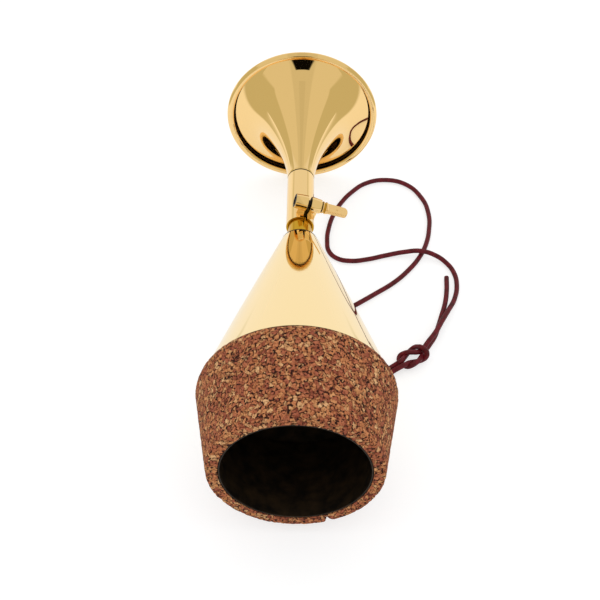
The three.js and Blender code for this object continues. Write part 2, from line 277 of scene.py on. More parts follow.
@dataclass(frozen=True)
class AgglomeratedCork(Finish):
    """Cork granules pressed and glued into sheet, then sanded.

    To the eye it is a mosaic of tan, red-brown and paler granules one to two millimetres across, each with
    finer grain in it, with short black cracks of bark between them, and it is quite matt.
    """

    name: str = "agglomerated_cork"
    granule_mm: float = 1.5
    grain_mm: float = 0.6
    crack_mm: float = 0.8
    pore_depth_mm: float = 0.2

    def material(self) -> Material:
        """Makes the cork."""
        material, tree, output, place = self.start()
        wobble = node(tree, "TexNoise", in_0=place, Scale=1100.0, Detail=3.0)
        shift = node(
            tree, "MixRGB", {"blend_type": "LINEAR_LIGHT"}, Fac=0.0007, Color1=place,
            Color2=wobble.outputs["Color"],
        )
        scale = 1000 / self.granule_mm
        cells = node(tree, "TexVoronoi", Vector=shift, Scale=scale)
        edges = node(tree, "TexVoronoi", {"feature": "DISTANCE_TO_EDGE"}, Vector=shift, Scale=scale)
        split = node(tree, "SeparateColor", in_0=cells.outputs["Color"])
        granules = node(
            tree,
            "ValToRGB",
            {
                "ramp": [
                    (0.0, "#a35a42"), (0.3, "#bf7450"), (0.55, "#cc8456"), (0.8, "#d69864"), (1.0, "#e8b884"),
                ]
            },
            Fac=split,
        )
        bits = node(tree, "TexVoronoi", Vector=shift, Scale=1000 / self.grain_mm)
        bit_split = node(tree, "SeparateColor", in_0=bits.outputs["Color"])
        bit_tone = node(
            tree, "ValToRGB", {"ramp": [(0.0, "#a08880"), (0.5, "#e8e0d8"), (1.0, "#ffffff")]}, Fac=bit_split,
        )
        grained = node(tree, "MixRGB", {"blend_type": "MULTIPLY"}, Fac=1.0, Color1=granules, Color2=bit_tone)
        grain = node(tree, "TexNoise", in_0=place, Scale=3200.0, Detail=3.0)
        bark = node(tree, "TexNoise", in_0=place, Scale=1000 / self.crack_mm, Detail=2.0)
        width = node(
            tree, "MapRange", Value=bark.outputs["Fac"], From_Min=0.48, From_Max=0.72, To_Min=0.02,
            To_Max=0.22,
        )
        inside = node(tree, "Math", {"operation": "SUBTRACT"}, in_0=edges.outputs["Distance"], in_1=width)
        crack = node(tree, "MapRange", Value=inside, From_Min=0.03, From_Max=-0.03)
        colour = node(tree, "MixRGB", Fac=crack, Color1=grained, Color2=linear("#2c110a"))
        height = node(tree, "Math", {"operation": "SUBTRACT"}, in_0=grain.outputs["Fac"], in_1=crack)
        self.surface(
            tree, output, height, 0.6, self.pore_depth_mm * MM,
            Base_Color=colour, Roughness=0.85, Specular_IOR_Level=0.2,
        )
        return material


@dataclass(frozen=True)
class RoundLeather(Finish):
    """A strip of leather, skived, rolled round and dyed, with a waxed skin.

    To the eye it is a dark red line with a soft highlight along it, broken by fine creases across.
    """

    name: str = "rolled_dyed_leather"
    colour: str = "#701320"
    dark: str = "#47070f"
    crease_mm: float = 0.5
    crease_depth_mm: float = 0.1

    def material(self) -> Material:
        """Makes the leather."""
        material, tree, output, place = self.start()
        patches = node(tree, "TexNoise", in_0=place, Scale=450.0, Detail=4.0)
        colour = node(
            tree, "ValToRGB", {"ramp": [(0.3, self.dark), (0.7, self.colour)]}, Fac=patches.outputs["Fac"],
        )
        creases = node(tree, "TexNoise", in_0=place, Scale=1000 / self.crease_mm, Detail=3.0)
        self.surface(
            tree, output, creases, 0.35, self.crease_depth_mm * MM,
            Base_Color=colour, Roughness=0.5, Specular_IOR_Level=0.25,
        )
        return material


# Shapes


@dataclass(frozen=True)
class Lie:
    """How the mute lies: on the cork's widest circle and the bell's rim, its axis a little lower at the bell.

    Attributes:
        mouth: The middle of the cork's mouth, in millimetres.
        lean: The axis's fall towards the bell, in radians.
        clamp_turn: The clamp's turn about the axis, from straight up towards +X.
        clamp_offset: How far the clamp's slit is beside the axis.
    """

    mouth: tuple[float, float, float] = (0.0, -95.775, 34.3816)
    lean: float = 0.0100127
    clamp_turn: float = math.radians(18)
    clamp_place: float = 122.4
    clamp_offset: float = 0.7
    screw_height: float = 8.55

    def on_axis(self) -> Matrix:
        """The matrix from millimetres along the mute's axis, +Y, to metres in the frame."""
        place = Matrix.Translation(Vector(self.mouth) * MM)
        return place @ Matrix.Rotation(-self.lean, 4, "X") @ Matrix.Scale(MM, 4)

    def on_clamp(self, offset: float = 0, along: float = 0, height: float = 0) -> Matrix:
        """The matrix of the clamp's frame, at a place in it."""
        turned = self.on_axis() @ Matrix.Rotation(self.clamp_turn, 4, "Y")
        return turned @ Matrix.Translation((offset, along, height))

    def on_screw(self) -> Matrix:
        """The matrix of the frame whose X axis is the thumb screw's."""
        return self.on_clamp(self.clamp_offset, self.clamp_place, self.screw_height)


def arc(centre: tuple[float, float], radius: float, start: float, end: float, steps: int) -> Outline:
    """Points on an arc, as along and radius pairs.

    Args:
        centre: The arc's centre.
        radius: The arc's radius.
        start: The first angle.
        end: The last angle.
        steps: How many steps the arc is cut into.

    Returns:
        The points, both ends included.
    """
    angles = [start + (end - start) * i / steps for i in range(steps + 1)]
    return [(centre[0] + radius * math.cos(a), centre[1] + radius * math.sin(a)) for a in angles]


def spun(outline: Outline, steps: int, closed: bool = True) -> BMesh:
    """Spins an outline of along and radius pairs about +Y.

    Args:
        outline: The points, in millimetres.
        steps: Steps of the full turn.
        closed: Whether the outline's last point joins its first.

    Returns:
        The spun mesh.
    """
    mesh = bmesh.new()
    points = [mesh.verts.new((radius, along, 0)) for along, radius in outline]
    pairs = list(zip(points, points[1:])) + ([(points[-1], points[0])] if closed else [])
    lines = [mesh.edges.new(pair) for pair in pairs]
    bmesh.ops.spin(
        mesh, geom=points + lines, cent=(0, 0, 0), axis=(0, 1, 0), angle=FULL_TURN, steps=steps,
        use_merge=True,
    )
    bmesh.ops.remove_doubles(mesh, verts=mesh.verts, dist=1e-4)
    bmesh.ops.recalc_face_normals(mesh, faces=mesh.faces)
    return mesh


def block(*size: float) -> BMesh:
    """A block of the given size about the origin."""
    made = bmesh.new()
    bmesh.ops.create_cube(made, size=1)
    bmesh.ops.scale(made, vec=size, verts=made.verts)
    return made


def rod(radius: float, length: float, segments: int, start: float | None = None) -> BMesh:
    """A rod along Z about the origin, or a cone if it starts with another radius."""
    made = bmesh.new()
    first = radius if start is None else start
    bmesh.ops.create_cone(made, cap_ends=True, segments=segments, radius1=first, radius2=radius, depth=length)
    return made


def soften(mesh: BMesh, offset: float, segments: int = 2, least: float = 40) -> None:
    """Bevels the edges that are sharper than an angle.

    Args:
        mesh: The mesh, in millimetres.
        offset: The bevel's width.
        segments: The bevel's steps.
        least: The least angle between an edge's faces, in degrees.
    """
    sharp = [
        edge
        for edge in mesh.edges
        if len(edge.link_faces) == 2 and edge.calc_face_angle() > math.radians(least)
    ]
    bmesh.ops.bevel(
        mesh, geom=sharp, offset=offset, offset_type="OFFSET", segments=segments, profile=0.5, affect="EDGES",
        material=-1, clamp_overlap=True,
    )


def finished(name: str, mesh: BMesh, place: Matrix, sharp_angle: float = 30) -> Object:
    """Turns a bmesh into an object whose place is in its mesh.

    Args:
        name: The piece's name.
        mesh: The mesh, which is freed.
        place: The matrix from the mesh's own frame to the row frame.
        sharp_angle: Edges sharper than this stay sharp, in degrees.

    Returns:
        The new object.
    """
    bmesh.ops.transform(mesh, matrix=place, verts=mesh.verts)
    for face in mesh.faces:
        face.smooth = True
    data = bpy.data.meshes.new(name)
    mesh.to_mesh(data)
    mesh.free()
    data.set_sharp_from_angle(angle=math.radians(sharp_angle))
    made = bpy.data.objects.new(name, data)
    bpy.context.scene.collection.objects.link(made)
    return made


def cut(made: Object, cutters: Iterable[tuple[str, BMesh, Matrix]]) -> Object:
    """Joins other shapes to an object or cuts them from it.

    Args:
        made: The object.
        cutters: The boolean's operation, the other shape, which is freed, and its place.

    Returns:
        The same object, with a new mesh.
    """
    for operation, shape, place in cutters:
        other = finished("cutter", shape, place)
        tool = made.modifiers.new("cut", "BOOLEAN")
        tool.operation = operation
        tool.solver = "EXACT"
        tool.object = other
        graph = bpy.context.evaluated_depsgraph_get()
        data = bpy.data.meshes.new_from_object(made.evaluated_get(graph))
        made.modifiers.clear()
        made.data = data
        bpy.data.objects.remove(other)
    for face in made.data.polygons:
        face.use_smooth = True
    made.data.set_sharp_from_angle(angle=math.radians(30))
    return made


def bevelled(made: Object, width: float, least: float) -> None:
    """Bevels, by a width in millimetres, the edges that are sharper than an angle in degrees."""
    edge = made.modifiers.new("edge", "BEVEL")
    edge.width = width * MM
    edge.segments = 2
    edge.limit_method = "ANGLE"
    edge.angle_limit = math.radians(least)


def thickened(made: Object, thickness: float, inner_slot: int = 0, rim_slot: int = 0) -> Object:
    """Gives a single skin the wall of a sheet, half to each side.

    Args:
        made: The skin.
        thickness: The wall, in millimetres.
        inner_slot: The material slot of the inner side.
        rim_slot: The material slot of the sheet's cut edges.

    Returns:
        The same object.
    """
    wall = made.modifiers.new("sheet", "SOLIDIFY")
    wall.thickness = thickness * MM
    wall.offset = 0
    wall.material_offset = inner_slot
    wall.material_offset_rim = rim_slot
    wall.use_even_offset = True
    bevelled(made, thickness / 5, 50)
    return made


def marked(made: Object, finish: Material, place: Matrix, test: Callable[[Vector], bool]) -> Object:
    """Gives some of a dressed piece's faces a finish of their own.

    Args:
        made: The piece.
        finish: The other finish.
        place: The matrix of the frame that the test works in.
        test: Whether a face with its middle there gets the finish.

    Returns:
        The same object.
    """
    made.data.materials.append(finish)
    number = len(made.data.materials) - 1
    back = place.inverted()
    for face in made.data.polygons:
        if test(back @ face.center):
            face.material_index = number
    return made


def kept_flat(made: Object) -> Object:
    """Keeps a mesh's long faces even in their mirror images, beside its narrow bevels."""
    weighted = made.modifiers.new("flat_beside_bevels", "WEIGHTED_NORMAL")
    weighted.keep_sharp = True
    return made


def coat(made: Object, finish: Material) -> None:
    """Gives an object one finish in place of what it has."""
    made.data.materials.clear()
    made.data.materials.append(finish)


def dress(made: Object, finish: Material, body: Body, slot: Slot, *replaced: str) -> Object:
    """Gives a piece its finish and body, and hides the nodes that it stands for."""
    coat(made, finish)
    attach(made, body.value)
    if replaced:
        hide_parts(*replaced)
    log.info("%s: %s on %s", made.name, finish.name, body.value)
    return made


@dataclass
class Finishes:
    """The finishes, made once."""

    brass: Material = field(
        default_factory=PolishedBrass(name="drawn_buffed_brass", colour="#f9d493").material
    )
    # Painted light: the cone's brass is a paler copy of the others, for the brighter mirror image on it.
    cone_brass_painted_pale: Material = field(default_factory=PolishedBrass().material)
    # The bell's brass has painted shade in the crease inside its rolled edge.
    bell_brass: Material = field(
        default_factory=PolishedBrass(name="spun_buffed_brass", colour="#f9d493", crease_shade_reach_mm=1.3).material
    )
    # Painted shade: a deeper, darker gold for the shade mirrored on the inner tube, at the outer tube's mouth
    # and in the collar's groove.
    shade_deepened_brass: Material = field(
        default_factory=PolishedBrass(
            name="shade_deepened_gold_brass", colour="#cf9f2c", roughness=0.09, ring_bump=0.06
        ).material
    )
    # Dark brass for the mute's inside, and painted shade in the clamp's gaps and under the cork's edge.
    dark_and_gap_shade: Material = field(default_factory=DarkBrassAndGapShade().material)
    screw_brass: Material = field(
        default_factory=PolishedBrass(
            name="turned_brass", colour="#f3ca86", roughness=0.1, ring_bump=0.05
        ).material
    )
    cork: Material = field(default_factory=AgglomeratedCork().material)
    leather: Material = field(default_factory=RoundLeather().material)


@dataclass
class MuteBody:
    """The cone with its cork, its seat, its neck and the inner tube.

    Sizes in millimetres, along the axis from the cork's mouth.

    Attributes:
        cork_shoulder: The length of the cork's rounding next to the cone.
        cork_step: How far the cork's widest radius is outside the cone.
        seam_chip: The width of the corner that is torn off at the seam.
        least_tear: The share of that width that reaches the bore.
        granule_seed: A factor that gives each granule a height of its own.
        crack_border: The width of the cracks between granules, as a share of a granule.
        torn_per_mm: How many patches of torn-out granules there are in a millimetre.
        unsanded: The thickness of the layer at the bore that isn't sanded.
        tolerance: How far off a face's plane a point still counts as on it.
        seam_line: The width of the solder line at the cone's small end.
        cone_bulge: How much fuller than a straight cone it is half way.
    """

    finishes: Finishes
    lie: Lie
    cork_length: float = 33.8
    cork_mouth_radius: float = 28.95
    cork_top_radius: float = 34.15
    cork_wall: float = 4.0
    cork_mouth_edge: float = 0.7
    cork_shoulder: float = 3.2
    cork_step: float = 1.65
    seam_width: float = 0.5
    seam_chip: float = 2.4
    seam_chip_length: float = 2.6
    seam_chip_reach: float = 7.0
    least_tear: float = 0.1
    liner_taper_length: float = 4.0
    liner_taper: float = 0.6
    granule: float = 1.5
    granule_step: float = 0.07
    granule_seed: float = 3.7
    crack_border: float = 0.35
    torn_per_mm: float = 0.8
    torn_share: float = 0.15
    unsanded: float = 0.5
    tolerance: float = 0.1
    crack_depth: float = 0.45
    seam_angle: float = math.radians(21)
    seat_wall: float = 0.5
    seat_gap: float = 0.2
    cone_start: float = 34.1
    cone_length: float = 74.7
    cone_large_radius: float = 32.5
    cone_small_radius: float = 7.0
    cone_wall: float = 0.6
    neck_length: float = 6.0
    tube_radius: float = 4.6
    tube_wall: float = 0.6
    tube_start: float = 68.8
    tube_end: float = 139.5
    seam_line: float = 1.0
    cone_bulge: float = 0.3
    round_steps: int = 256
    cork_steps: int = 512
    tube_steps: int = 96

    def cone_radius(self, along: float) -> float:
        """The cone's outside radius at a place along the axis."""
        slope = (self.cone_large_radius - self.cone_small_radius) / self.cone_length
        return self.cone_large_radius - slope * (along - self.cone_start)

    def cork(self) -> Object:
        """Builds the cork sleeve: a strip bent round, whose ends meet in a seam on its underside."""
        mouth_edge = (self.cork_mouth_edge, self.cork_mouth_radius - self.cork_mouth_edge)
        outside = arc(mouth_edge, self.cork_mouth_edge, math.pi, math.pi / 2, 5)
        flush = self.cork_top_radius - self.cork_step
        top = [
            (self.cork_length - self.cork_shoulder * (1 - x), flush + self.cork_step * r)
            for r, x in arc((0, 0), 1, 0, math.pi / 2, 12)
        ]
        rows = 76
        ends = list(zip(outside[-1], top[0]))
        rise = [tuple(low + (high - low) * i / rows for low, high in ends) for i in range(1, rows)]
        inside = [
            (self.cork_length, self.cork_top_radius - self.cork_wall),
            (self.liner_taper_length, self.cork_mouth_radius - self.cork_wall + self.liner_taper),
            (0.0, self.cork_mouth_radius - self.cork_wall),
        ]
        face_rows = 8
        across = outside[0][1] - inside[-1][1]
        inside += [(0.0, inside[-1][1] + across * i / face_rows) for i in range(1, face_rows)]
        outline = outside + rise + top + inside
        mesh = bmesh.new()
        points = [mesh.verts.new((0, along, -radius)) for along, radius in outline]
        strip_end = mesh.faces.new(points)
        gap = self.seam_width / self.cork_top_radius
        turn_to_seam = Matrix.Rotation(-self.seam_angle - gap / 2, 4, "Y")
        bmesh.ops.transform(mesh, matrix=turn_to_seam, verts=mesh.verts)
        bmesh.ops.spin(
            mesh, geom=list(mesh.verts) + list(mesh.edges) + [strip_end], cent=(0, 0, 0), axis=(0, 1, 0),
            angle=-(FULL_TURN - gap), steps=self.cork_steps, use_merge=False,
        )
        bmesh.ops.recalc_face_normals(mesh, faces=mesh.faces)
        self.sand(mesh)
        self.tear_corner(mesh)
        sleeve = finished("cork_strip", mesh, self.lie.on_axis(), 75)
        return dress(sleeve, self.finishes.cork, Body.MUTE, Slot.CORK, "cork_sleeve")

    def sand(self, mesh: BMesh) -> None:
        """Gives the cork its granules' small steps and the cracks between some of them."""
        mesh.normal_update()
        moves = []
        for vert in mesh.verts:
            near, points = noise.voronoi(vert.co / self.granule)
            step = noise.cell(points[0] * self.granule_seed) * self.granule_step
            border = max(0.0, 1 - (near[1] - near[0]) / self.crack_border)
            torn = max(0.0, noise.noise(vert.co * self.torn_per_mm) + self.torn_share)
            moves.append((vert, vert.normal * (step - border * torn * self.crack_depth)))
        taper = (self.cork_top_radius - self.cork_mouth_radius) / self.cork_length
        for vert, move in moves:
            inside = self.cork_mouth_radius + taper * vert.co.y - self.cork_wall
            radius = math.hypot(vert.co.x, vert.co.z)
            if radius > inside + self.unsanded or vert.co.y < self.tolerance:
                vert.co += move

    def tear_corner(self, mesh: BMesh) -> None:
        """Tears the outer corner of one strip end away at the mouth."""
        for vert in mesh.verts:
            radius = math.hypot(vert.co.x, vert.co.z)
            turn = math.atan2(vert.co.x, -vert.co.z)
            beyond = (turn - self.seam_angle) * radius - self.seam_width / 2
            if not -self.tolerance < beyond < self.seam_chip_reach:
                continue
            depth = max(0.0, 1 - max(0.0, vert.co.y) / self.seam_chip_length)
            outwards = (radius - self.cork_mouth_radius + self.cork_wall) / self.cork_wall
            tear = self.seam_chip * depth * max(self.least_tear, outwards)
            turn += tear * (1 - beyond / self.seam_chip_reach) / radius
            vert.co.x, vert.co.z = radius * math.sin(turn), -radius * math.cos(turn)

    def seat(self) -> Object:
        """Builds the brass skirt under the cork, with its flange."""
        inset = self.cork_wall + self.seat_gap + self.seat_wall / 2
        flange = self.cone_start + self.seat_wall / 2
        line = [
            (self.seat_gap, self.cork_mouth_radius - inset), (flange, self.cork_top_radius - inset),
            (flange, self.cone_radius(flange) - self.cone_wall - self.seat_gap),
        ]
        skin = finished("seat_skirt", spun(line, self.round_steps, closed=False), self.lie.on_axis())
        # The skirt's flange shows in the gap at the cork's top edge; its dark brass there is painted shade
        # for the dark line along that edge.
        thickened(skin, self.seat_wall)
        return dress(skin, self.finishes.dark_and_gap_shade, Body.MUTE, Slot.INNER_BRASS, "cork_seat")

    def cone(self) -> Object:
        """Builds the cone of sheet brass."""
        half = self.cone_wall / 2
        start = self.cone_start + half
        end = self.cone_start + self.cone_length
        rows = 24
        places = [start + (end - start) * i / rows for i in range(rows + 1)]
        places.insert(-1, end - self.seam_line)
        line = []
        for place in places:
            part = (place - start) / (end - start)
            bulge = self.cone_bulge * 4 * part * (1 - part)
            line.append((place, self.cone_radius(place) - half + bulge))
        skin = finished("cone_sheet", spun(line, self.round_steps, closed=False), self.lie.on_axis())
        thickened(skin, self.cone_wall, inner_slot=1, rim_slot=1)
        kept_flat(dress(skin, self.finishes.cone_brass_painted_pale, Body.MUTE, Slot.POLISHED_BRASS, "body_cone"))
        solder = end - self.seam_line
        return marked(skin, self.finishes.dark_and_gap_shade, self.lie.on_axis(), lambda p: p.y > solder)

    def neck(self) -> Object:
        """Builds the turned ring that holds the inner tube in the cone's small end."""
        end = self.cone_start + self.cone_length
        start = end - self.neck_length
        bore = self.tube_radius + self.seat_gap
        clear = self.cone_wall + self.seat_gap
        outline = [
            (start, bore), (start, self.cone_radius(start) - clear), (end, self.cone_radius(end) - clear),
            (end, bore),
        ]
        mesh = spun(outline, self.tube_steps)
        soften(mesh, 0.12)
        ring = finished("neck_collar", mesh, self.lie.on_axis())
        dress(ring, self.finishes.dark_and_gap_shade, Body.MUTE, Slot.POLISHED_BRASS, "neck_ring")
        return kept_flat(ring)

    def tube(self) -> Object:
        """Builds the inner tube."""
        inside = self.tube_radius - self.tube_wall
        outline = [
            (self.tube_start, inside), (self.tube_start, self.tube_radius), (self.tube_end, self.tube_radius),
            (self.tube_end, inside),
        ]
        mesh = spun(outline, self.tube_steps)
        soften(mesh, 0.1)
        made = finished("slide_tube", mesh, self.lie.on_axis())
        # The inner tube's deeper gold is painted shade.
        dress(made, self.finishes.shade_deepened_brass, Body.MUTE, Slot.POLISHED_BRASS, "inner_tube")
        return kept_flat(made)

    def build(self) -> None:
        """Builds the mute's body."""
        self.cork()
        self.seat()
        self.cone()
        self.neck()
        self.tube()
        coat(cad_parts["cord_eye"], self.finishes.brass)


@dataclass
class TuningSlide:
    """The bell with its tube and the clamp that holds it on the inner tube. Sizes in millimetres."""

    finishes: Finishes
    lie: Lie
    tube_start: float = 117.5
    tube_radius: float = 5.45
    tube_wall: float = 0.75
    slit_width: float = 1.2
    slit_length: float = 13.0
    throat: float = 147.35
    flare_length: float = 44.2
    flare_wall: float = 0.55
    bell_radius: float = 32.55
    wire_radius: float = 0.8
    wire_clearance: float = 0.15
    curl_angle: float = math.radians(255)
    straight_share: float = 0.1
    bent_share: float = 0.6
    turned_share: float = 0.3
    turned_power: float = 15
    rows_crowding: float = 2.2
    lug_gap: float = 1.4
    head_reach: float = 4.95
    nut_reach: float = 5.6
    barrel_radius: float = 3.1
    barrel_end_radius: float = 2.7
    foot_width: float = 4.4
    foot_reach: float = 3.2
    bore_radius: float = 1.59
    solder_gap: float = 0.02
    joint_gap: float = 0.3
    seam_line: float = 0.3
    cutter_length: float = 20.0
    saddle_length: float = 12.0
    round_steps: int = 320
    tube_steps: int = 96
    barrel_steps: int = 72

    def bell(self) -> Object:
        """Builds the bell: the flare and its edge rolled round the wire."""
        curl = self.wire_radius + self.wire_clearance + self.flare_wall / 2
        rim_touch = self.throat + self.flare_length - curl - self.flare_wall / 2
        centre = (rim_touch, self.bell_radius - curl - self.flare_wall / 2)
        throat_radius = self.tube_radius - self.flare_wall / 2
        end_slope = self.straight_share + 2 * self.bent_share + self.turned_power * self.turned_share
        lean = math.atan(end_slope * (centre[1] - throat_radius) / (centre[0] - self.throat))
        lip = (centre[0] + curl * math.sin(lean), centre[1] - curl * math.cos(lean))
        rows = 90
        line = []
        for i in range(rows):
            part = 1 - (1 - i / rows) ** self.rows_crowding
            rise = (
                self.straight_share * part
                + self.bent_share * part**2
                + self.turned_share * part**self.turned_power
            )
            line.append(
                (self.throat + (lip[0] - self.throat) * part, throat_radius + (lip[1] - throat_radius) * rise)
            )
        start = lean - math.pi / 2
        line += arc(centre, curl, start, start + self.curl_angle, 40)
        skin = finished("bell_sheet", spun(line, self.round_steps, closed=False), self.lie.on_axis(), 60)
        thickened(skin, self.flare_wall, rim_slot=1)
        dress(skin, self.finishes.bell_brass, Body.SLIDE, Slot.POLISHED_BRASS, "bell_flare")
        skin.data.materials.append(self.finishes.dark_and_gap_shade)
        return skin

    def tube(self) -> Object:
        """Builds the outer tube, whose slit ends in a drilled hole."""
        end = self.throat - self.joint_gap
        inside = self.tube_radius - self.tube_wall
        outline = [
            (self.tube_start, inside), (self.tube_start, self.tube_radius),
            (end - self.seam_line, self.tube_radius), (end, self.tube_radius), (end, inside),
        ]
        mesh = spun(outline, self.tube_steps)
        soften(mesh, 0.1)
        made = finished("clamped_tube", mesh, self.lie.on_clamp())
        reach = self.cutter_length
        offset = self.lie.clamp_offset
        run = self.slit_length - self.slit_width / 2 + reach
        saw = block(self.slit_width, run, reach)
        middle = self.tube_start - reach + run / 2
        drill = rod(self.slit_width / 2, reach, 40)
        hole = self.tube_start + self.slit_length - self.slit_width / 2
        cut(
            made,
            [
                ("DIFFERENCE", saw, self.lie.on_clamp(offset, middle, reach / 2)),
                ("DIFFERENCE", drill, self.lie.on_clamp(offset, hole, reach / 2)),
            ],
        )
        dress(made, self.finishes.brass, Body.SLIDE, Slot.POLISHED_BRASS, "outer_tube")
        kept_flat(made)
        slit_end = self.tube_start + self.slit_length + 0.1

        def shade_painted(p: Vector) -> bool:
            """Painted shade: the slit's walls and the bore, dark for the shade in the slit, and the far end,
            dark at the joint with the bell.
            """
            in_slit = p.z > 0 and p.y < slit_end and abs(p.x - offset) < self.slit_width / 2 + 0.02
            return in_slit or math.hypot(p.x, p.z) < inside + 0.05 or p.y > end - self.seam_line

        marked(made, self.finishes.dark_and_gap_shade, self.lie.on_clamp(), shade_painted)
        # Painted shade: the band at the mouth, where the inner tube goes in, gets the deeper gold.
        mouth = self.tube_start + 0.12
        return marked(made, self.finishes.shade_deepened_brass, self.lie.on_clamp(), lambda p: p.y < mouth)

    def lug(self, name: str, side: int, reach: float, replaced: str) -> Object:
        """Builds one half of the clamp's barrel with its foot.

        Args:
            name: The piece's name.
            side: 1 for the screw's head and -1 for its end.
            reach: The place of the half's outer face.
            replaced: The node that it stands for.

        Returns:
            The piece.
        """
        inner = self.lug_gap / 2
        steps = 12
        swell = self.barrel_radius - self.barrel_end_radius
        outline = [(inner, 0.0)]
        for i in range(steps + 1):
            along = inner + (reach - inner) * i / steps
            outline.append((along, self.barrel_radius - swell * (along / reach) ** 2))
        outline.append((reach, 0.0))
        mesh = spun(outline, self.barrel_steps, closed=False)
        soften(mesh, 0.14, 3)
        on_screw = Matrix.Rotation(-side * math.pi / 2, 4, "Z")
        place = self.lie.on_screw()
        made = finished(name, mesh, place @ on_screw)
        foot_height = self.lie.screw_height - self.tube_radius / 2
        foot = block(self.foot_reach, self.foot_width, foot_height)
        soften(foot, 0.25, 3)
        saddle = rod(self.tube_radius + self.solder_gap, self.saddle_length, 128)
        drill = rod(self.bore_radius, self.cutter_length, self.barrel_steps)
        across = Matrix.Rotation(math.pi / 2, 4, "Y")
        along = Matrix.Rotation(math.pi / 2, 4, "X")
        foot_place = place @ Matrix.Translation((side * (inner + self.foot_reach / 2), 0, -foot_height / 2))
        cut(
            made,
            [
                ("UNION", foot, foot_place), ("DIFFERENCE", drill, place @ across),
                ("DIFFERENCE", saddle, self.lie.on_clamp(along=self.lie.clamp_place) @ along),
            ],
        )
        dress(made, self.finishes.brass, Body.SLIDE, Slot.POLISHED_BRASS, replaced)
        kept_flat(made)

        def shade_painted(p: Vector) -> bool:
            """Painted shade: the faces in the slit, at the outer end and in the bore, dark for the shade in
            and beside the lug gap.
            """
            return (
                not inner + 0.03 < side * p.x < reach - 0.02
                or math.hypot(p.y, p.z) < self.bore_radius + 0.02
            )

        return marked(made, self.finishes.dark_and_gap_shade, place, shade_painted)

    def build(self) -> None:
        """Builds the bell, its tube and the clamp, and gives the wire its finish."""
        self.bell()
        self.tube()
        self.lug("head_side_lug", 1, self.head_reach, "head_lug")
        self.lug("nut_side_lug", -1, self.nut_reach, "nut_lug")
        coat(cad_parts["rim_wire"], self.finishes.dark_and_gap_shade)


@dataclass
class ClampScrew:
    """The thumb screw about its own axis. Sizes in millimetres."""

    finishes: Finishes
    lie: Lie
    shank_start: float = -5.3
    radius: float = 1.5
    chamfer: float = 0.3
    collar_start: float = 5.25
    collar_length: float = 1.9
    collar_radius: float = 2.35
    groove_place: float = 6.35
    groove_width: float = 0.8
    groove_depth: float = 0.25
    thumb_length: float = 8.65
    thumb_thickness: float = 1.5
    thumb_fillet: float = 1.4
    thumb_rounding: float = 1.6
    mill_reach: float = 4.0
    dimple_radius: float = 0.45
    dimple_depth: float = 0.35
    dimple_place: float = 4.35
    dimple_offset: float = 0.4
    steps: int = 96

    def build(self) -> None:
        """Builds the screw: shank, collar, and a rod whose end is milled flat on two sides."""
        thumb_start = self.collar_start + self.collar_length
        tip = thumb_start + self.thumb_length
        reach = self.mill_reach
        outline = [
            (self.shank_start, 0.0),
            (self.shank_start, self.radius - self.chamfer),
            (self.shank_start + self.chamfer, self.radius),
            (self.collar_start, self.radius),
            (self.collar_start, self.collar_radius - 0.2),
            (self.collar_start + 0.2, self.collar_radius),
            (self.groove_place - self.groove_width / 2, self.collar_radius),
            (self.groove_place - self.groove_width / 4, self.collar_radius - self.groove_depth),
            (self.groove_place + self.groove_width / 4, self.collar_radius - self.groove_depth),
            (self.groove_place + self.groove_width / 2, self.collar_radius),
            *arc(
                (tip - self.thumb_rounding, self.collar_radius - self.thumb_rounding), self.thumb_rounding,
                math.pi / 2, 0, 16,
            ),
            (tip, 0.0),
        ]
        mesh = spun(outline, self.steps, closed=False)
        place = self.lie.on_screw()
        made = finished("thumb_bolt", mesh, place @ Matrix.Rotation(-math.pi / 2, 4, "Z"))
        cutters = []
        flat = self.thumb_thickness / 2
        for side in (1, -1):
            mill = bmesh.new()
            corner = (thumb_start + self.thumb_fillet, flat + self.thumb_fillet)
            points = [
                (thumb_start, flat + reach), *arc(corner, self.thumb_fillet, math.pi, 1.5 * math.pi, 14),
                (tip + 1, flat), (tip + 1, flat + reach),
            ]
            profile = mesh_face(mill, [(x, -reach, side * z) for x, z in points])
            swept = bmesh.ops.extrude_face_region(mill, geom=[profile])
            moved = [v for v in swept["geom"] if isinstance(v, BMVert)]
            bmesh.ops.translate(mill, vec=(0, 2 * reach, 0), verts=moved)
            bmesh.ops.recalc_face_normals(mill, faces=mill.faces)
            cutters.append(("DIFFERENCE", mill, place))
        point = rod(self.dimple_radius * 2, self.dimple_depth * 2, 32, 0)
        dimple = Matrix.Translation((thumb_start + self.dimple_place, -self.dimple_offset, flat))
        cutters.append(("DIFFERENCE", point, place @ dimple))
        cut(made, cutters)
        bevelled(made, 0.09, 40)
        dress(made, self.finishes.screw_brass, Body.SCREW, Slot.SCREW_BRASS, "thumb_screw")
        kept_flat(made)

        # Painted shade: the shank, which shows in the lug gap, gets the dark brass for the shade in the gap.
        shoulder = self.collar_start + 0.03
        marked(made, self.finishes.dark_and_gap_shade, place, lambda p: p.x < shoulder)

        def grooved(p: Vector) -> bool:
            """The collar's groove, in the deeper gold as painted shade."""
            return (
                abs(p.x - self.groove_place) < self.groove_width / 2
                and math.hypot(p.y, p.z) < self.collar_radius - 0.02
            )

        marked(made, self.finishes.shade_deepened_brass, place, grooved)


def mesh_face(mesh: BMesh, points: Sequence[tuple[float, float, float]]) -> BMFace:
    """Adds one face through the given points."""
    return mesh.faces.new([mesh.verts.new(point) for point in points])


Route = Sequence[tuple[float, ...]]


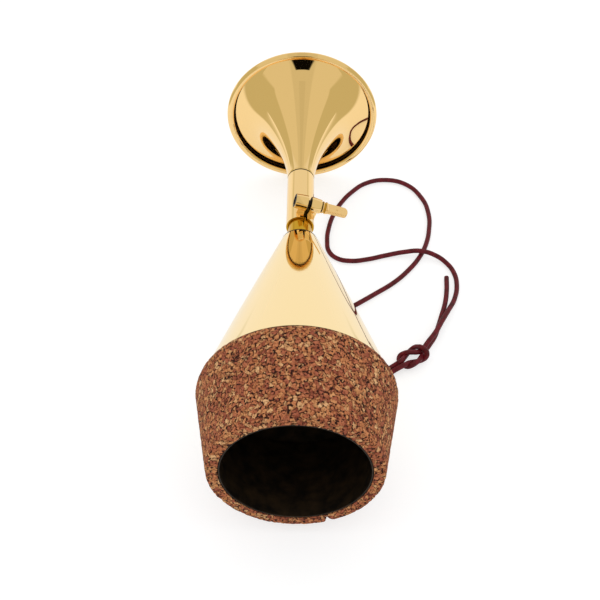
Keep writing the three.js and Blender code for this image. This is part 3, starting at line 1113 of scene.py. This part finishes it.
@dataclass
class WristCord:
    """One round leather cord, tied into a wrist loop with one knot. Millimetres in the row frame.

    The third number of a route's point is how far the cord is lifted off the table there. The knot's
    points give the height of the cord's middle instead.
    """

    finishes: Finishes
    radius: float = 1.0
    resting: float = 1.05
    long_route: Route = (
        (-0.15, -35.9, 6.9), (-4, -35.8, 6.2), (-8.5, -34.4, 3.3), (-12, -30.6, 0.9), (-13.4, -25),
        (-12.4, -18.4), (-8.6, -12), (-2.6, -6.2), (4.6, -1.2), (12.6, 3.9), (21.1, 9.7), (30.7, 17.1),
        (39.2, 24.2), (45.3, 31.3), (50, 38.6), (53.4, 46.7), (55.4, 56.1), (55.9, 66.5), (53.5, 77.2),
        (46.6, 86.7), (37.8, 89.4), (29.2, 87.1), (22.2, 80.4), (17.4, 73), (14.1, 65.3), (12, 56.6),
        (11.3, 48.7), (12.2, 41.8), (15.6, 37.8), (21, 36.4), (28, 37.4), (36, 39.8, 0.1),
        (43.6, 40.9, 1.1), (50.8, 40.4, 2.3), (57, 38.6, 1.4), (61.3, 35.4, 0.2), (63.9, 30.1),
        (64.6, 23), (63, 14.6, 0.2), (59.7, 6.9, 1.3), (56.5, 0.1, 2.1), (53.8, -5.5, 2.25),
        (50.7, -10.4, 2.25),
    )
    short_route: Route = (
        (0.15, -35.9, 6.9), (4, -36, 6.3), (8.6, -35.8, 3.8), (13, -34.9, 1.2), (18, -33),
        (24, -30.2), (29.7, -26.7), (34.1, -23.6, 0.1), (36.5, -22.1, 0.65), (38.2, -21.4, 1.5),
    )
    tail_route: Route = (
        (50.8, -11), (53.5, -6), (55.2, -0.8), (57.1, 5.5), (58.9, 11.9), (60.1, 19), (60.7, 27.1),
    )
    near_half: Route = (
        (38.2, -21.4, 2.55), (39.3, -20.8, 2.9), (40.6, -18.6, 2.4), (42.3, -15.1, 1.2),
        (43.8, -13.1, 1.05), (45, -12.7, 1.9), (46.2, -13.5, 3.2), (47.4, -14.8, 4.4),
        (48.6, -16.1, 4.7), (49.4, -17.5, 4.1), (49.1, -18.2, 2.6), (47.9, -18.4, 1.3),
        (46.2, -19, 1.05), (44.4, -19.5, 1.1), (42.6, -20.7, 2), (41.4, -22, 2.8), (40, -23.05, 3.05),
        (37.9, -24.1, 2.55), (35.8, -25.1, 1.75), (33.75, -26.6, 1.25), (31.65, -28.2, 1.05),
    )
    far_half: Route = (
        (50.7, -10.4, 3.3), (49.5, -12.2, 3), (48.4, -13.9, 2.7), (47.2, -15.2, 2.6),
        (45.6, -16.1, 3), (43.9, -16.4, 3.3), (42.2, -16.5, 3.3), (40.6, -16.4, 2.5),
        (39.3, -16.6, 1.4), (38.8, -17.9, 1.05), (39.2, -19.5, 1.05), (40.3, -21, 1.05),
        (41.8, -22.1, 1.4), (43.4, -22.4, 2.5), (45, -21.6, 3.1), (46.3, -20.2, 3.1),
        (47.4, -17.9, 2.5), (48.6, -15.2, 1.5), (49.7, -12.8, 1.05), (50.8, -11, 1.05),
    )

    def lifted(self, route: Route) -> list[tuple[float, float, float]]:
        """A route with heights of the cord's middle instead of lifts."""
        return [(p[0], p[1], self.resting + (p[2] if len(p) > 2 else 0)) for p in route]

    def strand(self, name: str, *routes: Route) -> Object:
        """Builds a curve of the cord's thickness through the points of each route.

        Args:
            name: The piece's name.
            routes: Points in millimetres, one spline for each route.

        Returns:
            The curve.
        """
        curve = bpy.data.curves.new(name, "CURVE")
        curve.dimensions = "3D"
        curve.bevel_depth = self.radius * MM
        curve.bevel_resolution = 7
        curve.resolution_u = 10
        curve.use_fill_caps = True
        for route in routes:
            spline = curve.splines.new("BEZIER")
            spline.bezier_points.add(len(route) - 1)
            for knot, place in zip(spline.bezier_points, route):
                knot.co = Vector(place) * MM
                knot.handle_left_type = "AUTO"
                knot.handle_right_type = "AUTO"
        made = bpy.data.objects.new(name, curve)
        bpy.context.scene.collection.objects.link(made)
        return made

    def build(self) -> None:
        leather = self.finishes.leather
        knot = self.strand("wrist_knot", self.near_half, self.far_half)
        dress(knot, leather, Body.MUTE, Slot.LEATHER, "cord_knot", "cord_stub")
        long = self.strand("long_strand", self.lifted(self.long_route))
        dress(long, leather, Body.MUTE, Slot.LEATHER, "cord_long")
        short = self.strand("short_strand", self.lifted(self.short_route))
        dress(short, leather, Body.MUTE, Slot.LEATHER, "cord_short")
        tail = self.strand("tail_strand", self.lifted(self.tail_route))
        dress(tail, leather, Body.MUTE, Slot.LEATHER, "cord_tail")


@dataclass(frozen=True)
class Edge:
    """A soft edge of a panel: it lies past a plane, with x as the distance from the middle.

    Attributes:
        normal: The plane's normal.
        blur: Half the edge's width.
        start: How far along the normal the middle of the edge is.
    """

    normal: tuple[float, float, float]
    blur: float
    start: float = 0.0


@dataclass(frozen=True)
class Panel:
    """A part of the light tent, between its edges."""

    colour: str
    edges: tuple[Edge, ...]


@dataclass
class Studio:
    """The table, the light and the camera. Metres.

    Attributes:
        lens: The focal length in millimetres on a sensor 36 mm wide.
        shadow_share: How much of the white table is lit, and not bright by itself.
        table_share: How bright the table is in the brass's mirror images.
        sheet_half_width: Where the white sheet ends at the sides, in those images.
    """

    lens: float = 67.22
    camera_place: tuple[float, float, float] = (0.003926, -0.303194, 0.328904)
    camera_right: tuple[float, float, float] = (0.999928, 0.011999, -0.00012)
    camera_up: tuple[float, float, float] = (-0.008549, 0.7194, 0.694543)
    camera_back: tuple[float, float, float] = (0.00842, -0.694492, 0.719451)
    table_size: float = 4.0
    shadow_share: float = 0.45
    sheet_half_width: float = 0.118
    sheet_front: float = -0.17
    sheet_back: float = 0.16
    edge_blur: float = 0.012
    table_share: float = 0.91
    side_panel: str = "#cdcaae"
    top_panel: str = "#e4e1d1"
    middle: Panel = Panel("#d9d6c4", (Edge((-1, 0, 0.2), 0.02, -0.12),))
    boom: Panel = Panel("#d2cfbc", (Edge((-1, 0, 0.08), 0.012, -0.03), Edge((0, 1, 0.97), 0.02)))
    low_back: Panel = Panel("#f0f0ee", (Edge((0, 1, -0.9), 0.1, 0.1),))
    sides: Panel = Panel("#cdcaae", (Edge((0.62, 0, -1), 0.03), Edge((1, 0.51, -0.94), 0.04)))
    behind: Panel = Panel("#ffffff", (Edge((0, 1, -1.4), 0.25, 0.45), Edge((-1, 1.1, 0), 0.1)))
    camera_slot: Panel = Panel(
        "#0d0a06", (Edge((-1, -0.115, 0), 0.012), Edge((0, 0, 1), 0.01, 0.07), Edge((0, -0.37, -1), 0.01))
    )

    def camera(self) -> None:
        """Places the camera where the photograph was taken from."""
        data = bpy.data.cameras.new("camera")
        data.lens = self.lens
        data.sensor_width = 36
        data.clip_start = 0.01
        data.clip_end = 20
        made = bpy.data.objects.new("camera", data)
        turn = Matrix((self.camera_right, self.camera_up, self.camera_back)).transposed()
        made.matrix_world = Matrix.Translation(self.camera_place) @ turn.to_4x4()
        bpy.context.scene.collection.objects.link(made)
        bpy.context.scene.camera = made

    def table(self) -> None:
        """Builds the white table, which shows as white with the object's soft shadow."""
        mesh = bmesh.new()
        bmesh.ops.create_grid(mesh, x_segments=1, y_segments=1, size=self.table_size / 2)
        made = finished("table", mesh, Matrix.Identity(4))
        material, tree, output, place = Finish("white_paper").start()
        path = node(tree, "LightPath")
        seen = node(
            tree, "Math", {"operation": "MAXIMUM"}, in_0=path.outputs["Is Camera Ray"],
            in_1=path.outputs["Is Glossy Ray"],
        )
        paper = node(tree, "BsdfDiffuse", Color=(0.8, 0.8, 0.8, 1))
        mirrored = self.mirrored_table(tree, place, path.outputs["Is Glossy Ray"])
        faint_colour = node(
            tree, "MixRGB", {"blend_type": "MULTIPLY"}, Fac=1.0, Color1=(self.shadow_share,) * 3 + (1,),
            Color2=mirrored,
        )
        faint = node(tree, "BsdfDiffuse", Color=faint_colour)
        glow = node(tree, "Emission", Color=mirrored, Strength=1.1 - self.shadow_share)
        both = node(tree, "AddShader", in_0=faint, in_1=glow)
        mixed = node(tree, "MixShader", in_0=seen, in_1=paper, in_2=both)
        tree.links.new(mixed.outputs[0], output.inputs[0])
        made.data.materials.append(material)

    def mirrored_table(self, tree: NodeTree, place: NodeSocket, glossy: NodeSocket) -> NodeSocket:
        """The table's colour: white, but in the brass's mirror images it ends at the sheet's edges."""
        parts = node(tree, "SeparateXYZ", in_0=place)
        aside = node(tree, "Math", {"operation": "ABSOLUTE"}, in_0=parts)
        blur = self.edge_blur
        past_side = self.faded(tree, aside.outputs[0], self.sheet_half_width, blur)
        past_front = self.faded(tree, parts.outputs[1], self.sheet_front, -blur)
        before_back = self.faded(tree, parts.outputs[1], self.sheet_back, -5 * blur)
        past_sides = node(tree, "Math", {"operation": "MULTIPLY"}, in_0=past_side, in_1=before_back)
        white = (1, 1, 1, 1)
        top, side = linear(self.top_panel), linear(self.side_panel)
        ends = node(tree, "MixRGB", Fac=past_front, Color1=white, Color2=top)
        sides = node(tree, "MixRGB", Fac=past_sides, Color1=ends, Color2=side)
        dimmed = node(
            tree, "MixRGB", {"blend_type": "MULTIPLY"}, Fac=1.0, Color1=sides,
            Color2=(self.table_share,) * 3 + (1,),
        )
        mirrored = node(tree, "MixRGB", Fac=glossy, Color1=white, Color2=dimmed)
        return mirrored.outputs[0]

    def faded(self, tree: NodeTree, value: NodeSocket, middle: float, blur: float) -> NodeSocket:
        """A value's smooth step from 0 to 1 about a middle, or from 1 to 0 with a blur below 0."""
        step = node(
            tree, "MapRange", {"interpolation_type": "SMOOTHSTEP"}, Value=value, From_Min=middle - blur,
            From_Max=middle + blur,
        )
        return step.outputs[0]

    def world(self) -> None:
        """Lights the object evenly from all round and shows white.

        The brass mirrors a photographer's light tent: warm side panels up to a sloping edge, a paler top
        and front, white behind, and a dark slot in the front towards the camera.
        """
        world = bpy.data.worlds.new("studio")
        bpy.context.scene.world = world
        world.use_nodes = True
        tree = world.node_tree
        tree.nodes.clear()
        output = node(tree, "OutputWorld")
        towards = node(tree, "TexCoord").outputs["Generated"]

        folded = node(tree, "VectorMath", {"operation": "ABSOLUTE"}, in_0=towards)
        halves = node(tree, "SeparateXYZ", in_0=folded)
        whole = node(tree, "SeparateXYZ", in_0=towards)
        direction = node(tree, "CombineXYZ", X=halves, Y=whole.outputs[1], Z=whole.outputs[2])
        tent = linear(self.top_panel)
        for panel in (self.middle, self.boom, self.low_back, self.sides, self.behind, self.camera_slot):
            mask = 1.0
            for edge in panel.edges:
                past = node(
                    tree, "VectorMath", {"operation": "DOT_PRODUCT"}, in_0=direction, in_1=edge.normal,
                )
                faded = self.faded(tree, past.outputs["Value"], edge.start, edge.blur)
                both = node(tree, "Math", {"operation": "MULTIPLY"}, in_0=mask, in_1=faded)
                mask = both.outputs[0]
            laid = node(tree, "MixRGB", Fac=mask, Color1=tent, Color2=linear(panel.colour))
            tent = laid.outputs[0]
        glossy = node(tree, "LightPath").outputs["Is Glossy Ray"]
        colour = node(tree, "MixRGB", Fac=glossy, Color1=(1, 1, 1, 1), Color2=tent)
        back = node(tree, "Background", Color=colour, Strength=1.0)
        tree.links.new(back.outputs[0], output.inputs[0])

    def build(self) -> None:
        """Builds the studio."""
        self.camera()
        self.table()
        self.world()
        bpy.context.scene.view_settings.view_transform = "Standard"


def main() -> None:
    """Builds the mute, its cord and the studio."""
    logging.basicConfig(level=logging.INFO, format="%(name)s %(message)s")
    finishes = Finishes()
    lie = Lie()
    MuteBody(finishes, lie).build()
    TuningSlide(finishes, lie).build()
    ClampScrew(finishes, lie).build()
    WristCord(finishes).build()
    Studio().build()


if __name__ == "__main__":
    main()
